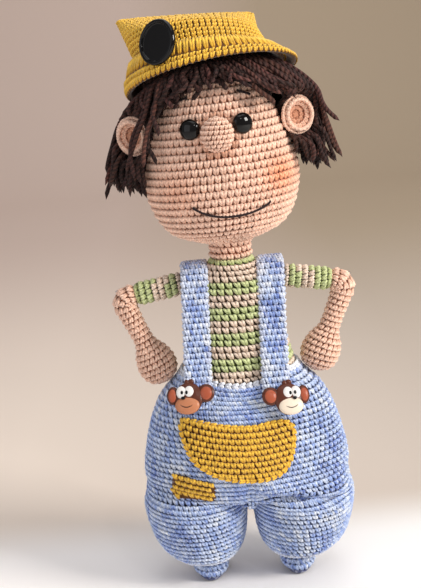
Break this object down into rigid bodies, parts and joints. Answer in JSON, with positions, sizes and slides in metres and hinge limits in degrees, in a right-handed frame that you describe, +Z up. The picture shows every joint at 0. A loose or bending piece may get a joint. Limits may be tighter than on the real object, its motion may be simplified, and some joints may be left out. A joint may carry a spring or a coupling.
{
  "type": "amigurumi doll",
  "caption": "Standing crocheted and stuffed boy doll with yarn hair, a cap that lifts off, striped sweater, overalls with a pocket, turning head and wired bending arms.",
  "frame": {"origin": "on the floor, under the middle of the doll's bounding box", "axes": "+Z up, the doll faces -Y, +X is the doll's own left side"},
  "size_m": [0.13, 0.0914, 0.3013],
  "materials": {
    "skin_yarn": "crocheted cotton",
    "dark_thread": "embroidery thread",
    "hair_yarn": "cut yarn",
    "cap_yarn": "crocheted cotton",
    "sweater_yarn": "crocheted cotton in green and beige stripes",
    "overalls_yarn": "crocheted cotton in mixed blue and white",
    "edging_yarn": "crocheted cotton",
    "filling": "loose fibre filling",
    "black_gloss": "polished",
    "moulded_brown": "moulded and painted",
    "washer_plastic": "moulded",
    "wire": "drawn wire"
  },
  "bodies": {
    "torso": {"torso": "sweater_yarn", "torso_filling": "filling", "shoulder_wire": "wire", "hips": "overalls_yarn", "leg_left": "overalls_yarn", "leg_right": "overalls_yarn", "foot_left": "overalls_yarn", "foot_right": "overalls_yarn", "waist_edging": "edging_yarn", "strap_left": "overalls_yarn", "strap_right": "overalls_yarn", "overalls_button_left": "moulded_brown", "overalls_button_right": "moulded_brown", "pocket": "cap_yarn", "pocket_edging": "cap_yarn", "patch": "cap_yarn"},
    "neck": {"neck": "skin_yarn", "neck_post": "wire"},
    "head": {"head": "skin_yarn", "head_filling": "filling", "nose": "skin_yarn", "mouth": "dark_thread", "eyebrow_left": "dark_thread", "eyebrow_right": "dark_thread", "eye_left": "black_gloss", "eye_right": "black_gloss", "eye_washer_left": "washer_plastic", "eye_washer_right": "washer_plastic", "ear_left": "skin_yarn", "ear_right": "skin_yarn", "hair_fringe": "hair_yarn", "hair_left": "hair_yarn", "hair_right": "hair_yarn", "hair_back": "hair_yarn"},
    "cap": {"cap_crown": "cap_yarn", "cap_band": "cap_yarn", "cap_button": "black_gloss"},
    "shoulder_left": {"sleeve_wire_left": "wire"},
    "upper_arm_left": {"sleeve_left": "sweater_yarn", "elbow_left": "skin_yarn"},
    "forearm_left": {"forearm_left": "skin_yarn", "forearm_wire_left": "wire"},
    "shoulder_right": {"sleeve_wire_right": "wire"},
    "upper_arm_right": {"sleeve_right": "sweater_yarn", "elbow_right": "skin_yarn"},
    "forearm_right": {"forearm_right": "skin_yarn", "forearm_wire_right": "wire"}
  },
  "joints": [
    {"name": "neck_turn", "type": "hinge", "parent": "torso", "child": "neck", "pos_m": [0, -0.0044, 0.176], "axis": [0, 0, 1], "range_deg": [-40, 40]},
    {"name": "head_nod", "type": "hinge", "parent": "neck", "child": "head", "pos_m": [0, -0.0044, 0.19], "axis": [1, 0, 0], "range_deg": [-12, 12]},
    {"name": "cap_lift", "type": "slide", "parent": "head", "child": "cap", "axis": [-0.1324, 0.309, 0.9418], "range_m": [0, 0.06]},
    {"name": "shoulder_raise_left", "type": "hinge", "parent": "torso", "child": "shoulder_left", "pos_m": [0.031, -0.0044, 0.1635], "axis": [0, -1, 0], "range_deg": [0, 60]},
    {"name": "arm_twist_left", "type": "hinge", "parent": "shoulder_left", "child": "upper_arm_left", "pos_m": [0.031, -0.0044, 0.1635], "axis": [-0.9877, 0, 0.1564], "range_deg": [-40, 110]},
    {"name": "elbow_left", "type": "hinge", "parent": "upper_arm_left", "child": "forearm_left", "pos_m": [0.05964, -0.0044, 0.15896], "axis": [0, -1, 0], "range_deg": [0, 104]},
    {"name": "shoulder_raise_right", "type": "hinge", "parent": "torso", "child": "shoulder_right", "pos_m": [-0.031, -0.0044, 0.1635], "axis": [0, 1, 0], "range_deg": [0, 60]},
    {"name": "arm_twist_right", "type": "hinge", "parent": "shoulder_right", "child": "upper_arm_right", "pos_m": [-0.031, -0.0044, 0.1635], "axis": [-0.9877, 0, -0.1564], "range_deg": [-40, 110]},
    {"name": "elbow_right", "type": "hinge", "parent": "upper_arm_right", "child": "forearm_right", "pos_m": [-0.05964, -0.0044, 0.15896], "axis": [0, 1, 0], "range_deg": [0, 104]}
  ]
}
